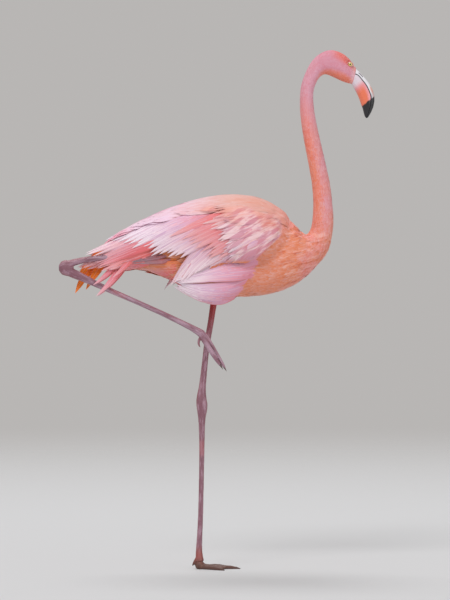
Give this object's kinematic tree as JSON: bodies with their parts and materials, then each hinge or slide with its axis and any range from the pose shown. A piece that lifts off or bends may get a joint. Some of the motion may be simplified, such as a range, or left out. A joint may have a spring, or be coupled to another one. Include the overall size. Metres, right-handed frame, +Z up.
{
  "type": "american flamingo, standing model",
  "caption": "Life-size American flamingo standing on its left leg, right leg folded back and up with the toes hanging, neck raised in an S and bill pointing down; a still model with no joints.",
  "frame": {"origin": "on the sole of the standing foot, under its middle toe, at the middle of the bird's length and on its midline", "axes": "+X is the way the bird faces, +Y is its left, +Z is up"},
  "size_m": [0.693, 0.1932, 1.1436],
  "materials": {
    "body_plumage": "soft coral plumage",
    "wing_plumage": "soft pale pink plumage",
    "tail_plumage": "soft pink and orange plumage",
    "leg_skin": "satin scaled skin",
    "foot_skin": "satin scaled skin",
    "bill_horn": "satin horn",
    "eye": "wet gloss"
  },
  "bodies": {
    "root": {"trunk": "body_plumage", "neck_lower": "body_plumage", "neck_middle": "body_plumage", "neck_upper": "body_plumage", "head": "body_plumage", "bill_upper": "bill_horn", "bill_lower": "bill_horn", "eye_left": "eye", "eye_right": "eye", "mantle": "wing_plumage", "wing_left": "wing_plumage", "wing_right": "wing_plumage", "wing_tip_left": "wing_plumage", "wing_tip_right": "wing_plumage", "tail": "tail_plumage", "thigh_left": "wing_plumage", "thigh_right": "wing_plumage", "tibia_left": "leg_skin", "hock_left": "leg_skin", "shank_left": "leg_skin", "foot_left": "foot_skin", "hind_toe_left": "foot_skin", "tibia_right": "leg_skin", "hock_right": "leg_skin", "shank_right": "leg_skin", "foot_right": "foot_skin", "hind_toe_right": "foot_skin"}
  },
  "joints": []
}
